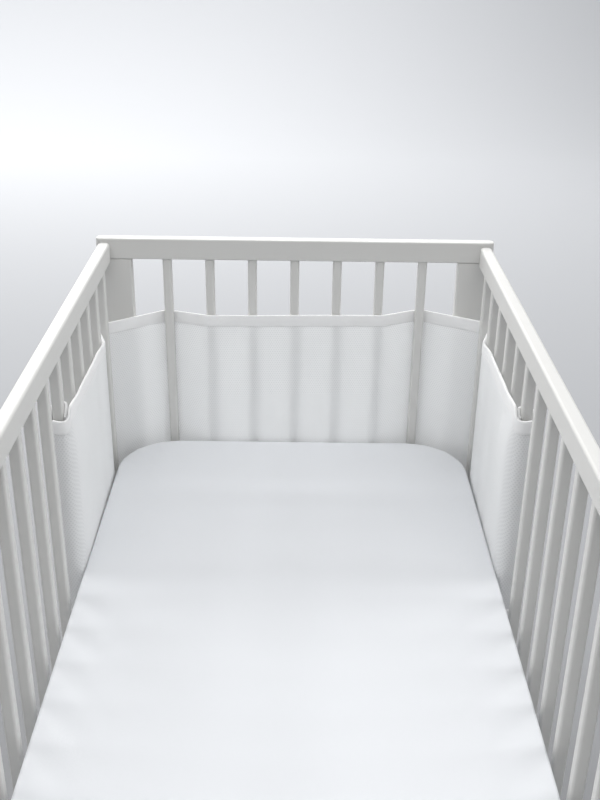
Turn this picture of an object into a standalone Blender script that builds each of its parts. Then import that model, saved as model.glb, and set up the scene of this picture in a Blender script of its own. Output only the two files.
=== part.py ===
"""A mesh crib bumper laced between the slats of a plain crib, which is built with it.

The bumper is one long strip of spacer mesh with a folded tape over its top and bottom edges. It runs round
the head end, in front of most slats and behind a few, and each end wraps one side slat and closes on itself.
Metres, +Z up, origin on the floor under the middle of the crib, +Y towards the head end.
"""

import math
from collections import namedtuple

import bmesh
import bpy

FIT = 0.0003  # gap left between pieces that meet

# Crib: where its panels stand
CRIB_HEIGHT = 0.850
INSIDE_LENGTH = 1.222
INSIDE_HALF_WIDTH = 0.3055
HEAD_Y = INSIDE_LENGTH / 2

# Rails and posts
END_RAIL_LENGTH = 0.660
END_RAIL_THICK = 0.020
END_RAIL_HEIGHT = 0.035
SIDE_RAIL_THICK = 0.019
SIDE_RAIL_HEIGHT = 0.034
SIDE_RAIL_DROP = 0.006  # the side rail's top lies this far below the end rail's
LOW_RAIL_TOP = 0.250
RAIL_ROUNDING = 0.002
RAIL_NOSE = 0.007  # rounding of a rail's upright corners
POST_WIDTH = 0.058
POST_THICK = 0.018

# Slats
SLAT_SIZE = 0.015
SLAT_ROUNDING = 0.003
END_SLATS = 7
END_SLAT_PITCH = 0.0712
SIDE_SLATS = 17
SIDE_SLAT_PITCH = 0.0695
ROOTING = 0.005  # how far a slat runs into the rails of the panel that is one solid

# Base board and the ledgers that it is screwed to
BASE_TOP = 0.365
BASE_WIDTH = 0.590
BOARD_THICK = 0.015
LEDGER_THICK = 0.030
LEDGER_HEIGHT = 0.040
BASE_OVERLAP = 0.001  # how far the board and its ledgers run into each other
BAR_ROUNDING = 0.002

# Mattress in its fitted sheet
MATTRESS_WIDTH = 0.594
MATTRESS_LENGTH = 1.200
MATTRESS_TOP = 0.485
MATTRESS_CROWN = 0.004
MATTRESS_CORNER = 0.100  # seen from above
MATTRESS_EDGE = 0.020  # rounding of its top edge
MATTRESS_FOOT_EDGE = 0.012
MATTRESS_HEAD_GAP = 0.0085
MATTRESS_STEPS = 5

# Bumper
BUMPER_HEIGHT = 0.330
MESH_THICK = 0.0030
PINCHED_THICK = 0.0012  # the mesh where the tape squeezes it
MESH_ROWS = 3
TAPE_WIDTH = 0.020
TAPE_THICK = 0.0009
TAPE_HALF = PINCHED_THICK / 2 + FIT + TAPE_THICK
LONGEST_SPAN = 0.030  # between two stations along the strip
TURN_STEP = math.radians(20)

# Turned ends of the bumper, and the hook tape in them
FLAP_REACH = 0.0065  # how far a turned end runs on towards the foot end, from the wrapped slat's middle
FLAP_HEIGHTS = (0.727, 0.734)
CLOSURE_THICK = 0.001
CLOSURE_WIDTH = 0.008
CLOSURE_HEIGHT = 0.240
CLOSURE_SUNK = 0.004  # how far its top lies under the turned end's edge

# How far the bumper stays from the slat that it turns round
CLEAR = 0.002
EASED = 0.0032
LOOSE = 2 * TAPE_HALF + CLOSURE_THICK + 3 * FIT  # room for a turned end and its closure

# The slat corners that the bumper turns round, from a turned end to the middle of the head end. Outward and
# headward are 1 or -1: the slat's corner away from the crib's middle or towards it, and towards the head end
# or the foot end. Way is 1 for a left turn. Left and right are the top edge's height there on each side.
Bend = namedtuple("Bend", "panel slat outward headward gap way left right")
BENDS = (
    Bend("side", 6, -1, 1, FIT, 1, 0.742, 0.743),
    Bend("side", 6, 1, 1, CLEAR, 1, 0.738, 0.740),
    Bend("side", 6, 1, -1, CLEAR, 1, 0.724, 0.732),
    Bend("side", 6, -1, -1, LOOSE, 1, 0.724, 0.733),
    Bend("side", 6, -1, 1, LOOSE, 1, 0.738, 0.746),
    Bend("side", 5, -1, -1, LOOSE, 1, 0.732, 0.741),
    Bend("side", 3, -1, -1, EASED, 1, 0.724, 0.735),
    Bend("side", 2, -1, 1, CLEAR, 1, 0.716, 0.724),
    Bend("side", 1, 1, -1, FIT, -1, 0.716, 0.727),
    Bend("side", 1, 1, 1, FIT, -1, 0.717, 0.728),
    Bend("end", 1, 1, 1, FIT, -1, 0.719, 0.725),
    Bend("end", 1, -1, 1, FIT, -1, 0.718, 0.7245),
    Bend("end", 2, 1, -1, CLEAR, 1, 0.718, 0.7215),
)

PAINT = ("white_paint", (0.88, 0.88, 0.87), 0.35)
BARE_WOOD = ("bare_wood", (0.78, 0.67, 0.50), 0.6)
SHEET = ("fitted_sheet", (0.87, 0.88, 0.91), 0.85)
MESH = ("spacer_mesh", (0.86, 0.88, 0.88), 0.8)
TAPE = ("edge_tape", (0.89, 0.89, 0.88), 0.7)
HOOK = ("hook_tape", (0.92, 0.92, 0.92), 0.6)

SIDE_SLAT_X = INSIDE_HALF_WIDTH + SIDE_RAIL_THICK / 2
SLAT_FACE_X = SIDE_SLAT_X - SLAT_SIZE / 2
END_SLAT_Y = HEAD_Y + END_RAIL_THICK / 2
END_RAIL_FOOT = CRIB_HEIGHT - END_RAIL_HEIGHT
SIDE_RAIL_TOP = CRIB_HEIGHT - SIDE_RAIL_DROP
SIDE_RAIL_FOOT = SIDE_RAIL_TOP - SIDE_RAIL_HEIGHT
POST_INNER_X = END_RAIL_LENGTH / 2 - POST_WIDTH
POST_FACE_Y = END_SLAT_Y - POST_THICK / 2
CORNER_IN = SLAT_SIZE / 2 - SLAT_ROUNDING  # from a slat's middle to the middle of its rounded corner

Turn = namedtuple("Turn", "x y radius way height")
Station = namedtuple("Station", "distance x y heading")
Anchor = namedtuple("Anchor", "distance height")


def clear_scene():
    """Removes whatever the scene holds."""
    for thing in list(bpy.data.objects):
        bpy.data.objects.remove(thing, do_unlink=True)


def material(finish):
    """The Principled material of a finish, made once."""
    name, colour, roughness = finish
    if name in bpy.data.materials:
        return bpy.data.materials[name]
    made = bpy.data.materials.new(name)
    made.use_nodes = True
    shader = made.node_tree.nodes["Principled BSDF"]
    shader.inputs["Base Color"].default_value = (*colour, 1)
    shader.inputs["Roughness"].default_value = roughness
    shader.inputs["Metallic"].default_value = 0
    return made


def add_mesh(name, mesh, finish, place=(0, 0, 0)):
    """A mesh as a named object at its place, its soft edges shaded smooth."""
    mesh.shade_smooth()
    mesh.set_sharp_from_angle(angle=math.radians(35))
    mesh.materials.clear()
    mesh.materials.append(material(finish))
    solid = bpy.data.objects.new(name, mesh)
    solid.location = place
    bpy.context.scene.collection.objects.link(solid)
    return solid


def add_solid(name, bm, finish, place=(0, 0, 0)):
    """A closed bmesh as a named object, its faces pointing out."""
    bmesh.ops.recalc_face_normals(bm, faces=bm.faces)
    mesh = bpy.data.meshes.new(name)
    bm.to_mesh(mesh)
    bm.free()
    return add_mesh(name, mesh, finish, place)


def rounded_outline(width, depth, radius, steps):
    """Points round a rectangle about the origin, its corners turned to a radius."""
    points = []
    for corner, (side_x, side_y) in enumerate(((1, 1), (-1, 1), (-1, -1), (1, -1))):
        middle_x = side_x * (width / 2 - radius)
        middle_y = side_y * (depth / 2 - radius)
        for step in range(steps + 1):
            angle = math.pi / 2 * (corner + step / steps)
            points.append((middle_x + radius * math.cos(angle), middle_y + radius * math.sin(angle)))
    return points


def bar(size, rounding, steps=2, edge=0.0):
    """A bmesh bar standing on its origin, its upright corners rounded, and by edge also its other edges."""
    width, depth, height = size
    bm = bmesh.new()
    ring = [bm.verts.new((x, y, 0)) for x, y in rounded_outline(width, depth, rounding, steps)]
    floor = bm.faces.new(ring)
    grown = bmesh.ops.extrude_face_region(bm, geom=[floor])["geom"]
    top = [part for part in grown if isinstance(part, bmesh.types.BMVert)]
    bmesh.ops.translate(bm, verts=top, vec=(0, 0, height))
    if edge:
        rims = [e for e in bm.edges if abs(e.verts[0].co.z - e.verts[1].co.z) < edge]
        bmesh.ops.bevel(bm, geom=rims, offset=edge, segments=2, profile=0.5, affect="EDGES")
    return bm


def rail(name, low, high):
    """A painted rail between two corners of its box, with rounded edges and noses."""
    size = [b - a for a, b in zip(low, high)]
    place = ((low[0] + high[0]) / 2, (low[1] + high[1]) / 2, low[2])
    return add_solid(name, bar(size, RAIL_NOSE, steps=3, edge=RAIL_ROUNDING), PAINT, place)


def slat(name, x, y, low_z, high_z):
    """One upright slat."""
    return add_solid(name, bar((SLAT_SIZE, SLAT_SIZE, high_z - low_z), SLAT_ROUNDING), PAINT, (x, y, low_z))


def joined(name, solids, finish):
    """The Boolean union of several solids, as one object of that name."""
    first, *others = solids
    for other in others:
        union = first.modifiers.new("join", "BOOLEAN")
        union.operation = "UNION"
        union.object = other
    bpy.context.view_layer.update()
    graph = bpy.context.evaluated_depsgraph_get()
    mesh = bpy.data.meshes.new_from_object(first.evaluated_get(graph))
    place = tuple(first.location)
    for solid in solids:
        bpy.data.objects.remove(solid, do_unlink=True)
    return add_mesh(name, mesh, finish, place)


def end_slat_x(number):
    """Where an end slat stands across the crib, numbered from the left."""
    return (number - (END_SLATS + 1) / 2) * END_SLAT_PITCH


def side_slat_y(number):
    """Where a side slat stands along the crib, numbered from the head end."""
    return ((SIDE_SLATS + 1) / 2 - number) * SIDE_SLAT_PITCH


def end_rails(end, root):
    """The top and low rails of an end panel. End is 1 at the head and -1 at the foot."""
    half = END_RAIL_LENGTH / 2
    inner_half = POST_INNER_X - FIT
    near, far = sorted((end * HEAD_Y, end * (HEAD_Y + END_RAIL_THICK)))
    top = rail(f"{root}_top_rail", (-half, near, END_RAIL_FOOT), (half, far, CRIB_HEIGHT))
    low_rail_foot = LOW_RAIL_TOP - END_RAIL_HEIGHT
    low = rail(f"{root}_low_rail", (-inner_half, near, low_rail_foot), (inner_half, far, LOW_RAIL_TOP))
    return [top, low]


def end_slats(end, root, reach):
    """An end panel's slats, run into its rails by reach, or short of them where it is negative."""
    slats = []
    for number in range(1, END_SLATS + 1):
        foot = LOW_RAIL_TOP - reach
        head = END_RAIL_FOOT + reach
        slats.append(slat(f"{root}_slat_{number}", end_slat_x(number), end * END_SLAT_Y, foot, head))
    return slats


def posts(end, root):
    """The two flat posts that carry an end panel, down to the floor."""
    for side, word in ((-1, "left"), (1, "right")):
        middle_x = side * (POST_INNER_X + POST_WIDTH / 2)
        post = bar((POST_WIDTH, POST_THICK, END_RAIL_FOOT - FIT), SLAT_ROUNDING)
        add_solid(f"{root}_post_{word}", post, PAINT, (middle_x, end * END_SLAT_Y, 0))


def side_panel(side, word):
    """A side panel: its two rails between the end panels, and its slats."""
    near, far = sorted((side * INSIDE_HALF_WIDTH, side * (INSIDE_HALF_WIDTH + SIDE_RAIL_THICK)))
    top_half = HEAD_Y - FIT
    low_half = POST_FACE_Y - FIT
    low_rail_foot = LOW_RAIL_TOP - SIDE_RAIL_HEIGHT
    rail(f"side_top_rail_{word}", (near, -top_half, SIDE_RAIL_FOOT), (far, top_half, SIDE_RAIL_TOP))
    rail(f"side_low_rail_{word}", (near, -low_half, low_rail_foot), (far, low_half, LOW_RAIL_TOP))
    for number in range(1, SIDE_SLATS + 1):
        name = f"side_slat_{word}_{number:02d}"
        slat(name, side * SIDE_SLAT_X, side_slat_y(number), LOW_RAIL_TOP + FIT, SIDE_RAIL_FOOT - FIT)


def base_bar(size, middle_y, top):
    """The board or one ledger of the base, for joining."""
    return add_solid("base_bar", bar(size, BAR_ROUNDING), BARE_WOOD, (0, middle_y, top - size[2]))


def base_board():
    """The board under the mattress, on a ledger at each end that is fixed to the posts."""
    length = 2 * (POST_FACE_Y - FIT)
    ledger = (BASE_WIDTH, LEDGER_THICK, LEDGER_HEIGHT)
    ledger_y = (length - LEDGER_THICK) / 2
    ledger_top = BASE_TOP - BOARD_THICK + BASE_OVERLAP
    board = base_bar((BASE_WIDTH, length, BOARD_THICK), 0, BASE_TOP)
    ledgers = [base_bar(ledger, end * ledger_y, ledger_top) for end in (-1, 1)]
    joined("base_board", [board, *ledgers], BARE_WOOD)


def mattress_profile():
    """The mattress's side, as how far each ring lies in from its outline and its height."""
    foot = BASE_TOP + FIT
    shoulder = MATTRESS_TOP - MATTRESS_CROWN
    angles = [math.pi / 2 * step / (MATTRESS_STEPS - 1) for step in range(MATTRESS_STEPS)]
    crowned = (MATTRESS_WIDTH / 4, MATTRESS_TOP - MATTRESS_CROWN / 4)
    turned = [(1 - math.sin(angle), 1 - math.cos(angle)) for angle in angles]
    lower = [(MATTRESS_FOOT_EDGE * inward, foot + MATTRESS_FOOT_EDGE * up) for inward, up in turned]
    upper = [(MATTRESS_EDGE * up, shoulder - MATTRESS_EDGE * inward) for inward, up in turned]
    return lower + upper + [crowned]


def mattress():
    """The mattress: rounded corners, soft edges and a slight crown, flat underneath."""
    bm = bmesh.new()
    loops = []
    for inset, z in mattress_profile():
        radius = max(MATTRESS_CORNER - inset / 2, MATTRESS_CORNER / 2)
        outline = rounded_outline(
            MATTRESS_WIDTH - 2 * inset, MATTRESS_LENGTH - 2 * inset, radius, MATTRESS_STEPS
        )
        loops.append([bm.verts.new((x, y, z)) for x, y in outline])
    skin_loops(bm, loops)
    bm.faces.new(loops[0])
    crown = bm.verts.new((0, 0, MATTRESS_TOP))
    for here, there in zip(loops[-1], loops[-1][1:] + loops[-1][:1]):
        bm.faces.new((here, there, crown))
    middle_y = HEAD_Y - MATTRESS_HEAD_GAP - MATTRESS_LENGTH / 2
    add_solid("mattress", bm, SHEET, (0, middle_y, 0))


def skin_loops(bm, loops):
    """Faces between each closed loop of points and the next."""
    for lower, upper in zip(loops, loops[1:]):
        for i in range(len(lower)):
            j = (i + 1) % len(lower)
            bm.faces.new((lower[i], lower[j], upper[j], upper[i]))


def slat_turn(bend, side):
    """The bumper's turn round a slat's corner, on the left side of the crib (-1) or the right one (1)."""
    if bend.panel == "side":
        slat_x = side * SIDE_SLAT_X
        slat_y = side_slat_y(bend.slat)
    else:
        slat_x = -side * end_slat_x(bend.slat)
        slat_y = END_SLAT_Y
    return Turn(
        slat_x + side * bend.outward * CORNER_IN,
        slat_y + bend.headward * CORNER_IN,
        SLAT_ROUNDING + bend.gap + TAPE_HALF,
        bend.way,
        bend.left if side < 0 else bend.right,
    )


def wrapped_slat_y():
    """Where the slat that each end of the bumper wraps stands along the crib."""
    return side_slat_y(BENDS[0].slat)


def free_end(side):
    """Where the bumper starts, on the inner face of the slat that it wraps."""
    x = SLAT_FACE_X - FIT - TAPE_HALF
    height = FLAP_HEIGHTS[0] if side < 0 else FLAP_HEIGHTS[1]
    return Turn(side * x, wrapped_slat_y() - FLAP_REACH, 0.0, 1, height)


def bumper_turns():
    """Every turn of the bumper seen from above, from its left end to its right end."""
    left = [free_end(-1)] + [slat_turn(bend, -1) for bend in BENDS]
    right = [free_end(1)] + [slat_turn(bend, 1) for bend in BENDS]
    return left + right[::-1]


def heading_between(a, b):
    """The heading of the straight stretch that leaves turn a and enters turn b."""
    apart = math.hypot(b.x - a.x, b.y - a.y)
    return math.atan2(b.y - a.y, b.x - a.x) - math.asin((b.way * b.radius - a.way * a.radius) / apart)


def run_to(stations, x, y, heading):
    """Adds a station at a place, and others before it where the last one is far away."""
    if stations:
        last = stations[-1]
        length = math.hypot(x - last.x, y - last.y)
        spans = math.ceil(length / LONGEST_SPAN)
        for span in range(1, spans):
            share = span / spans
            middle_x = last.x + share * (x - last.x)
            middle_y = last.y + share * (y - last.y)
            stations.append(Station(last.distance + share * length, middle_x, middle_y, heading))
        stations.append(Station(last.distance + length, x, y, heading))
    else:
        stations.append(Station(0.0, x, y, heading))


def bumper_route():
    """Stations along the bumper seen from above, and its top edge's height at some distances along it."""
    turns = bumper_turns()
    headings = [heading_between(a, b) for a, b in zip(turns, turns[1:])]
    stations = []
    anchors = []
    for turn, arriving, leaving in zip(turns, headings[:1] + headings, headings + headings[-1:]):
        swing = (leaving - arriving + math.pi) % math.tau - math.pi
        steps = math.ceil(abs(swing) / TURN_STEP) if abs(swing) > TURN_STEP / 8 else 0
        if turn.radius and steps and swing * turn.way < 0:
            raise ValueError("two bends of the bumper are too near each other")
        for step in range(steps + 1):
            heading = arriving + swing * (step / steps if steps else 0.5)
            x = turn.x + turn.way * turn.radius * math.sin(heading)
            y = turn.y - turn.way * turn.radius * math.cos(heading)
            run_to(stations, x, y, heading)
        middle = stations[-1 - steps].distance + stations[-1].distance
        anchors.append(Anchor(middle / 2, turn.height))
    return stations, anchors


def height_at(anchors, distance):
    """The top edge's height at a distance along the bumper, eased from each anchor to the next."""
    for before, after in zip(anchors, anchors[1:]):
        if distance <= after.distance:
            share = max(0.0, (distance - before.distance) / (after.distance - before.distance))
            return before.height + (after.height - before.height) * share * share * (3 - 2 * share)
    return anchors[-1].height


def sweep(name, section, route, finish):
    """A closed section, its points across the cloth and up from its top edge, carried along the route."""
    stations, anchors = route
    bm = bmesh.new()
    loops = []
    for station in stations:
        top = height_at(anchors, station.distance)
        across_x = math.sin(station.heading)
        across_y = -math.cos(station.heading)
        places = [(station.x + a * across_x, station.y + a * across_y, top + up) for a, up in section]
        loops.append([bm.verts.new(place) for place in places])
    skin_loops(bm, loops)
    bm.faces.new(loops[0])
    bm.faces.new(loops[-1])
    add_solid(name, bm, finish)


def mesh_section():
    """The mesh panel's section: full thickness between the tapes, pinched thin inside them."""
    full = MESH_THICK / 2
    thin = PINCHED_THICK / 2
    hidden = TAPE_THICK + 2 * FIT
    top = -TAPE_WIDTH - FIT
    foot = -BUMPER_HEIGHT + TAPE_WIDTH + FIT
    rows = [(full, top + (foot - top) * row / MESH_ROWS) for row in range(MESH_ROWS + 1)]
    side = [(thin, -hidden), (thin, top), *rows, (thin, foot), (thin, -BUMPER_HEIGHT + hidden)]
    return side + [(-across, up) for across, up in reversed(side)]


def tape_section(edge, into):
    """The folded tape's section over the strip's edge at that height. Into is the way to the strip's middle."""
    slot = PINCHED_THICK / 2 + FIT
    crown = TAPE_THICK + FIT
    shoulder = TAPE_HALF / 2
    half = [(slot, crown), (slot, TAPE_WIDTH), (TAPE_HALF, TAPE_WIDTH), (TAPE_HALF, shoulder), (shoulder, 0)]
    both = half + [(-across, depth) for across, depth in reversed(half)]
    return [(across, edge + into * depth) for across, depth in both]


def closure(side, word, flap_top):
    """The hook tape between a turned end and the strip that it closes on."""
    middle_x = SLAT_FACE_X - LOOSE + FIT + CLOSURE_THICK / 2
    foot = flap_top - CLOSURE_SUNK - CLOSURE_HEIGHT
    strip = bar((CLOSURE_THICK, CLOSURE_WIDTH, CLOSURE_HEIGHT), CLOSURE_THICK / 4)
    add_solid(f"closure_{word}", strip, HOOK, (side * middle_x, wrapped_slat_y(), foot))


def bumper():
    """The mesh strip, its two edge tapes and the closures of its turned ends."""
    route = bumper_route()
    sweep("bumper_mesh", mesh_section(), route, MESH)
    sweep("top_tape", tape_section(0.0, -1), route, TAPE)
    sweep("bottom_tape", tape_section(-BUMPER_HEIGHT, 1), route, TAPE)
    closure(-1, "left", FLAP_HEIGHTS[0])
    closure(1, "right", FLAP_HEIGHTS[1])


def crib():
    """The crib that the bumper is laced to, with its base and mattress."""
    end_rails(1, "head")
    end_slats(1, "head", -FIT)
    posts(1, "head")
    joined("foot_panel", end_rails(-1, "foot") + end_slats(-1, "foot", ROOTING), PAINT)
    posts(-1, "foot")
    side_panel(-1, "left")
    side_panel(1, "right")
    base_board()
    mattress()


clear_scene()
crib()
bumper()
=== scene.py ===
"""Looks of a mesh crib bumper and of the crib that it is laced to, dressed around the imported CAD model.

Metres, +Z up, +Y towards the head end. The bumper is one strip of spacer mesh, bound with a folded tape along
its top and bottom edges. It runs in and out of the slats round the head end, and each end wraps a side slat.
"""

import logging
import math
from dataclasses import dataclass
from enum import Enum
from typing import TypeAlias

import bmesh
import bpy
import numpy as np
from mathutils import Matrix, Vector


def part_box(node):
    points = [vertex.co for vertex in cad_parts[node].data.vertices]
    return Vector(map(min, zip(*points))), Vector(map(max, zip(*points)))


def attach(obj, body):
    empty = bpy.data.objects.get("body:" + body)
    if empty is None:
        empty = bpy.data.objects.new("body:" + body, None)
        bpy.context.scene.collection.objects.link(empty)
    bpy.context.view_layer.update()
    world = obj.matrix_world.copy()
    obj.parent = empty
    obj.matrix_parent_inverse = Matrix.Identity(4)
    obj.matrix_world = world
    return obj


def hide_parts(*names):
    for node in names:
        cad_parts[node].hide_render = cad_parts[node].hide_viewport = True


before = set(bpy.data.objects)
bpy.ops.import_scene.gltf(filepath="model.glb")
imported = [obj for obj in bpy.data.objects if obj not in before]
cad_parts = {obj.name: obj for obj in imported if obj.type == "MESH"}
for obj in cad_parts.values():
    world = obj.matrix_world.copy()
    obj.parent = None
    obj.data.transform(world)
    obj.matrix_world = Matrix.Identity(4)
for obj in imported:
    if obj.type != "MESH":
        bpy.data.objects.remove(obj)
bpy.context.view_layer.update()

LOG = logging.getLogger("crib_bumper")
ROOT = "root"

Number: TypeAlias = "float | Signal"
Colour: TypeAlias = tuple[float, float, float]
Point: TypeAlias = tuple[float, float]
Level: TypeAlias = float | np.ndarray


class Axis(Enum):
    """The way that the grain of a piece of timber runs."""

    X = 0
    Y = 1
    Z = 2


class Panel(Enum):
    """A slatted panel of the crib."""

    END = "end"
    SIDE = "side"


class Side(Enum):
    """A side of the crib, as the sign of its X."""

    LEFT = -1
    RIGHT = 1


class Edge(Enum):
    """An edge of the bumper's strip: the way from it to the strip's middle, down or up."""

    TOP = 1
    BOTTOM = -1


class Signal:
    """A shader socket that stands in Python expressions, where each operator adds a Math node."""

    def __init__(self, tree: bpy.types.NodeTree, socket: bpy.types.NodeSocket) -> None:
        """Wraps a socket.

        Args:
            tree: The node tree that the socket is in.
            socket: The output socket.
        """
        self.tree = tree
        self.socket = socket

    def plug(self, entry: bpy.types.NodeSocket, value: Number) -> None:
        """Links a signal to an input socket, or sets a number on it.

        Args:
            entry: The input socket.
            value: What goes into it.
        """
        if isinstance(value, Signal):
            self.tree.links.new(value.socket, entry)
        else:
            entry.default_value = value

    def math(self, operation: str, *values: Number) -> "Signal":
        """One Math node.

        Args:
            operation: Blender's name of the operation.
            values: Its inputs, in order.

        Returns:
            The node's output.
        """
        node = self.tree.nodes.new("ShaderNodeMath")
        node.operation = operation
        for entry, value in zip(node.inputs, values):
            self.plug(entry, value)
        return Signal(self.tree, node.outputs[0])

    def __add__(self, other: Number) -> "Signal":
        """Self plus other."""
        return self.math("ADD", self, other)

    __radd__ = __add__

    def __sub__(self, other: Number) -> "Signal":
        """Self minus other."""
        return self.math("SUBTRACT", self, other)

    def __rsub__(self, other: Number) -> "Signal":
        """Other minus self."""
        return self.math("SUBTRACT", other, self)

    def __mul__(self, other: Number) -> "Signal":
        """Self times other."""
        return self.math("MULTIPLY", self, other)

    __rmul__ = __mul__

    def __truediv__(self, other: Number) -> "Signal":
        """Self over other."""
        return self.math("DIVIDE", self, other)

    def fraction(self) -> "Signal":
        """What is left of self after its whole number."""
        return self.math("FRACT", self)

    def least(self, other: Number) -> "Signal":
        """The smaller of self and other."""
        return self.math("MINIMUM", self, other)

    def root(self) -> "Signal":
        """The square root."""
        return self.math("SQRT", self)

    def sine(self) -> "Signal":
        """The sine of self in radians."""
        return self.math("SINE", self)


class Recipe:
    """The node tree of one material while it is made."""

    def __init__(self, name: str) -> None:
        """Starts an empty material.

        Args:
            name: The material's name.
        """
        self.made = bpy.data.materials.new(name)
        self.made.use_nodes = True
        self.tree = self.made.node_tree
        self.tree.nodes.clear()

    def node(
        self, kind: str, settings: dict | None = None, inputs: dict | None = None, output: int | str = 0
    ) -> Signal:
        """Adds one node.

        Args:
            kind: The node's type without the ShaderNode in front.
            settings: Its properties, set before its inputs.
            inputs: Values or signals by the name or number of the input socket.
            output: The name or number of the output socket that is wanted.

        Returns:
            That output.
        """
        node = self.tree.nodes.new("ShaderNode" + kind)
        for key, value in (settings or {}).items():
            setattr(node, key, value)
        made = Signal(self.tree, node.outputs[output])
        for key, value in (inputs or {}).items():
            made.plug(node.inputs[key], value)
        return made

    def place(self) -> Signal:
        """The point in the row frame, in metres."""
        return self.node("TexCoord", output="Object")

    def stretched(self, scale: tuple[float, float, float]) -> Signal:
        """The point with each of its axes scaled."""
        return self.node("VectorMath", {"operation": "MULTIPLY"}, {0: self.place(), 1: scale})

    def noise(self, point: Signal, scale: float, detail: float = 2.0, roughness: float = 0.5) -> Signal:
        """Smooth noise from 0 to 1.

        Args:
            point: Where it is read.
            scale: Bumps per metre of the point.
            detail: How many finer layers lie on it.
            roughness: How strong those layers are.

        Returns:
            The noise.
        """
        return self.node(
            "TexNoise", None, {"Vector": point, "Scale": scale, "Detail": detail, "Roughness": roughness}
        )

    def soft_step(self, value: Signal, start: float, end: float) -> Signal:
        """A soft step from 0 to 1.

        Args:
            value: What it is read at.
            start: Where it is 0.
            end: Where it is 1.

        Returns:
            The step.
        """
        inputs = {0: value, 1: start, 2: end, 3: 0.0, 4: 1.0}
        return self.node("MapRange", {"interpolation_type": "SMOOTHSTEP"}, inputs)

    def blend(self, share: Number, low: "Colour | Signal", high: Colour) -> Signal:
        """A colour between two others.

        Args:
            share: 0 for the first and 1 for the second.
            low: The first colour.
            high: The second colour.

        Returns:
            The mixed colour.
        """
        start = low if isinstance(low, Signal) else (*low, 1.0)
        inputs = {0: share, 6: start, 7: (*high, 1.0)}
        return self.node("Mix", {"data_type": "RGBA"}, inputs, output=2)

    def relief(self, height: Signal, depth: float, strength: float = 1.0) -> Signal:
        """A normal from a height.

        Args:
            height: The relief, from 0 to 1.
            depth: How many metres 1 is.
            strength: How much of it shows.

        Returns:
            The bumped normal.
        """
        return self.node("Bump", None, {"Height": height, "Distance": depth, "Strength": strength})

    def finish(self, surface: Signal) -> bpy.types.Material:
        """Ends the material.

        Args:
            surface: The shader that it shows.

        Returns:
            The finished material.
        """
        output = self.tree.nodes.new("ShaderNodeOutputMaterial")
        self.tree.links.new(surface.socket, output.inputs["Surface"])
        return self.made


@dataclass(frozen=True)
class Paint:
    """Satin paint on timber, whose grain still shows faintly."""

    grain: Axis
    light: Colour = (0.698, 0.694, 0.678)
    dull: Colour = (0.657, 0.655, 0.639)
    across: float = 220.0  # bumps per metre across the grain
    along: float = 7.0
    peel: float = 700.0
    clouds: float = 9.0

    def material(self) -> bpy.types.Material:
        """The painted finish with its grain along the timber.

        Returns:
            The material.
        """
        recipe = Recipe(f"white_paint_{self.grain.name.lower()}")
        scale = [self.across] * 3
        scale[self.grain.value] = self.along
        grain = recipe.noise(recipe.stretched(tuple(scale)), 1.0, detail=4.0, roughness=0.6)
        peel = recipe.noise(recipe.place(), self.peel, detail=1.0)
        cloudy = recipe.noise(recipe.place(), self.clouds)
        inputs = {
            "Base Color": recipe.blend(cloudy * 0.7 + grain * 0.3, self.dull, self.light),
            "Roughness": grain * 0.12 + 0.42,
            "IOR": 1.46,
            "Specular IOR Level": 0.30,
            "Normal": recipe.relief(grain * 0.75 + peel * 0.25, depth=0.0004, strength=0.35),
        }
        return recipe.finish(recipe.node("BsdfPrincipled", None, inputs))


@dataclass(frozen=True)
class BareWood:
    """Unpainted boards, with grain along the crib."""

    light: Colour = (0.72, 0.56, 0.38)
    dark: Colour = (0.52, 0.36, 0.21)
    rings: float = 420.0  # radians of growth rings per metre across
    wander: float = 46.0  # radians that the rings wander by
    wander_scale: tuple[float, float, float] = (9.0, 1.2, 9.0)
    fibre_scale: tuple[float, float, float] = (900.0, 14.0, 900.0)

    def material(self) -> bpy.types.Material:
        """The bare finish.

        Returns:
            The material.
        """
        recipe = Recipe("bare_wood")
        wander = recipe.noise(recipe.stretched(self.wander_scale), 1.0, detail=3.0)
        across = recipe.node("SeparateXYZ", None, {0: recipe.place()}, output="X")
        rings = (across * self.rings + wander * self.wander).sine() * 0.5 + 0.5
        fibre = recipe.noise(recipe.stretched(self.fibre_scale), 1.0)
        inputs = {
            "Base Color": recipe.blend(rings * 0.55 + fibre * 0.35, self.light, self.dark),
            "Roughness": fibre * 0.2 + 0.55,
            "Normal": recipe.relief(rings * 0.4 + fibre * 0.6, depth=0.0003, strength=0.5),
        }
        return recipe.finish(recipe.node("BsdfPrincipled", None, inputs))


@dataclass(frozen=True)
class SheerCloth:
    """A cloth that passes some of the light that falls on its back."""

    passes: float
    lit_through: Colour  # the even colour of the light that it passes

    def shader(self, recipe: Recipe, inputs: dict, open_share: Number) -> Signal:
        """The cloth's shader.

        Args:
            recipe: The material that it is for.
            inputs: The inputs of its Principled shader.
            open_share: How much of it is open, from 0 to 1.

        Returns:
            The shader.
        """
        front = recipe.node("BsdfPrincipled", None, inputs)
        passed = {"Color": (*self.lit_through, 1.0), "Normal": inputs["Normal"]}
        back = recipe.node("BsdfTranslucent", None, passed)
        cloth = recipe.node("MixShader", None, {0: self.passes, 1: front, 2: back})
        clear = recipe.node("BsdfTransparent")
        return recipe.node("MixShader", None, {0: open_share, 1: cloth, 2: clear})


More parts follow.
